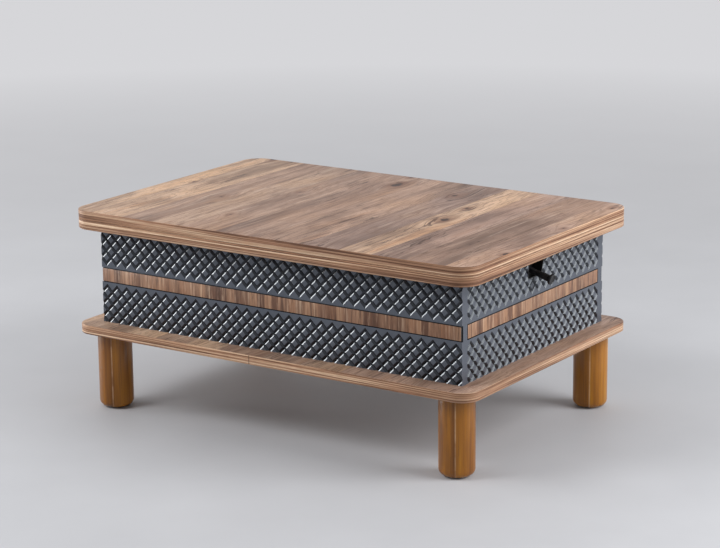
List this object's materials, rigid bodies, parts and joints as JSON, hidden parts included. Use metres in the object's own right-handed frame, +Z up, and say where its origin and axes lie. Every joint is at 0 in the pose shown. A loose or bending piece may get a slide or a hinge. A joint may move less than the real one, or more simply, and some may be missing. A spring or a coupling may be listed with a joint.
{
  "type": "lift-top table",
  "caption": "Low table whose plank top is raised to dining height by a scissor lift released by an end lever, then turns and folds open; diamond-grooved grey case on turned legs.",
  "frame": {"origin": "on the floor, under the middle of the table with its top down", "axes": "+X along the long front side towards the end with the lever, +Y to the back, +Z up"},
  "size_m": [0.9, 0.6, 0.3984],
  "materials": {
    "plank_laminate": "satin laminate printed as weathered planks, banded edges",
    "leg_lacquer": "golden brown stain under gloss lacquer",
    "panel_grey": "anthracite semi-gloss film on milled fibreboard",
    "inlay_wood": "cross-grained strip of the same plank laminate",
    "block_wood": "planed beech, raw",
    "black_steel": "black powder coat",
    "gas_black": "gloss black paint",
    "zinc_steel": "bright zinc plate",
    "chrome_rod": "hard chrome, ground",
    "nylon": "natural nylon",
    "black_plastic": "moulded black plastic, fine texture",
    "hinge_brass": "brass plated steel, satin"
  },
  "bodies": {
    "carcass": {"base_board": "plank_laminate", "leg_front_left": "leg_lacquer", "leg_front_right": "leg_lacquer", "leg_rear_left": "leg_lacquer", "leg_rear_right": "leg_lacquer", "leg_hanger_bolts": "zinc_steel", "leg_tee_nuts": "zinc_steel", "foot_glides": "black_plastic", "front_panel": "panel_grey", "rear_panel": "panel_grey", "left_end_panel": "panel_grey", "right_end_panel": "panel_grey", "front_inlay_strip": "inlay_wood", "rear_inlay_strip": "inlay_wood", "left_inlay_strip": "inlay_wood", "right_inlay_strip": "inlay_wood", "corner_blocks": "block_wood", "panel_screws": "zinc_steel", "notch_liner": "black_plastic", "lower_rail_front": "black_steel", "lower_rail_rear": "black_steel", "lower_rail_screws": "zinc_steel", "lower_fixed_axle": "zinc_steel"},
    "outer_arms": {"outer_arm_front": "black_steel", "outer_arm_rear": "black_steel", "outer_arm_tie": "black_steel"},
    "inner_arms": {"inner_arm_front": "black_steel", "inner_arm_rear": "black_steel", "inner_arm_tie": "black_steel", "centre_axle": "zinc_steel"},
    "upper_roller_axle": {"upper_roller_axle": "zinc_steel", "upper_rollers": "nylon"},
    "lower_roller_axle": {"lower_roller_axle": "zinc_steel", "lower_rollers": "nylon"},
    "upper_frame": {"upper_rail_front": "black_steel", "upper_rail_rear": "black_steel", "left_cross_bar": "black_steel", "pivot_cross_bar": "black_steel", "right_cross_bar": "black_steel", "cross_bar_screws": "zinc_steel", "upper_pivot_pins": "zinc_steel", "pivot_bush": "nylon", "leaf_pads": "nylon", "gas_rod": "chrome_rod", "gas_rod_nuts": "zinc_steel", "lever_bracket": "black_steel", "lever_pivot_pin": "zinc_steel"},
    "gas_tube": {"gas_tube": "gas_black", "gas_tube_gland": "black_plastic"},
    "release_lever": {"release_lever": "black_steel", "lever_knob": "black_plastic"},
    "release_pin": {"release_pin": "zinc_steel"},
    "lower_leaf": {"lower_leaf": "plank_laminate", "pivot_spindle": "zinc_steel", "pivot_nut": "zinc_steel", "lower_hinge_plates": "hinge_brass"},
    "upper_leaf": {"upper_leaf": "plank_laminate", "upper_hinge_plates": "hinge_brass", "hinge_pins": "zinc_steel"}
  },
  "joints": [
    {"name": "lift", "type": "hinge", "parent": "carcass", "child": "outer_arms", "pos_m": [0.316, 0, 0.187], "axis": [0, 1, 0], "range_deg": [0, 37.28]},
    {"name": "arms_cross", "type": "hinge", "parent": "outer_arms", "child": "inner_arms", "pos_m": [0, 0, 0.2625], "axis": [0, 1, 0], "range_deg": [-74.56, 0]},
    {"name": "frame_level", "type": "hinge", "parent": "inner_arms", "child": "upper_frame", "pos_m": [0.316, 0, 0.338], "axis": [0, 1, 0], "range_deg": [0, 37.28]},
    {"name": "gas_tube_swing", "type": "hinge", "parent": "outer_arms", "child": "gas_tube", "pos_m": [-0.316, 0, 0.338], "axis": [0, 1, 0], "range_deg": [-37.28, 0]},
    {"name": "upper_roller_spin", "type": "hinge", "parent": "outer_arms", "child": "upper_roller_axle", "pos_m": [-0.316, 0, 0.338], "axis": [0, 1, 0], "continuous": true},
    {"name": "lower_roller_spin", "type": "hinge", "parent": "inner_arms", "child": "lower_roller_axle", "pos_m": [-0.316, 0, 0.187], "axis": [0, 1, 0], "continuous": true},
    {"name": "top_turn", "type": "hinge", "parent": "upper_frame", "child": "lower_leaf", "pos_m": [0.14875, 0.14875, 0.362], "axis": [0, 0, 1], "range_deg": [0, 90]},
    {"name": "leaf_fold", "type": "hinge", "parent": "lower_leaf", "child": "upper_leaf", "pos_m": [0, 0.2975, 0.3802], "axis": [-1, 0, 0], "range_deg": [0, 180]},
    {"name": "lever_lift", "type": "hinge", "parent": "upper_frame", "child": "release_lever", "pos_m": [0.374, 0, 0.326], "axis": [0, -1, 0], "range_deg": [0, 12], "stiffness_Nm_per_rad": 0.5, "springref_deg": -17.19},
    {"name": "pin_press", "type": "slide", "parent": "upper_frame", "child": "release_pin", "axis": [-1, 0, 0], "range_m": [0, 0.0025]}
  ],
  "couplings": [
    {"joint": "arms_cross", "follows": "lift", "ratio": -2},
    {"joint": "frame_level", "follows": "lift", "ratio": 1},
    {"joint": "gas_tube_swing", "follows": "lift", "ratio": -1},
    {"joint": "pin_press", "follows": "lever_lift", "m_per_rad": 0.0117}
  ]
}
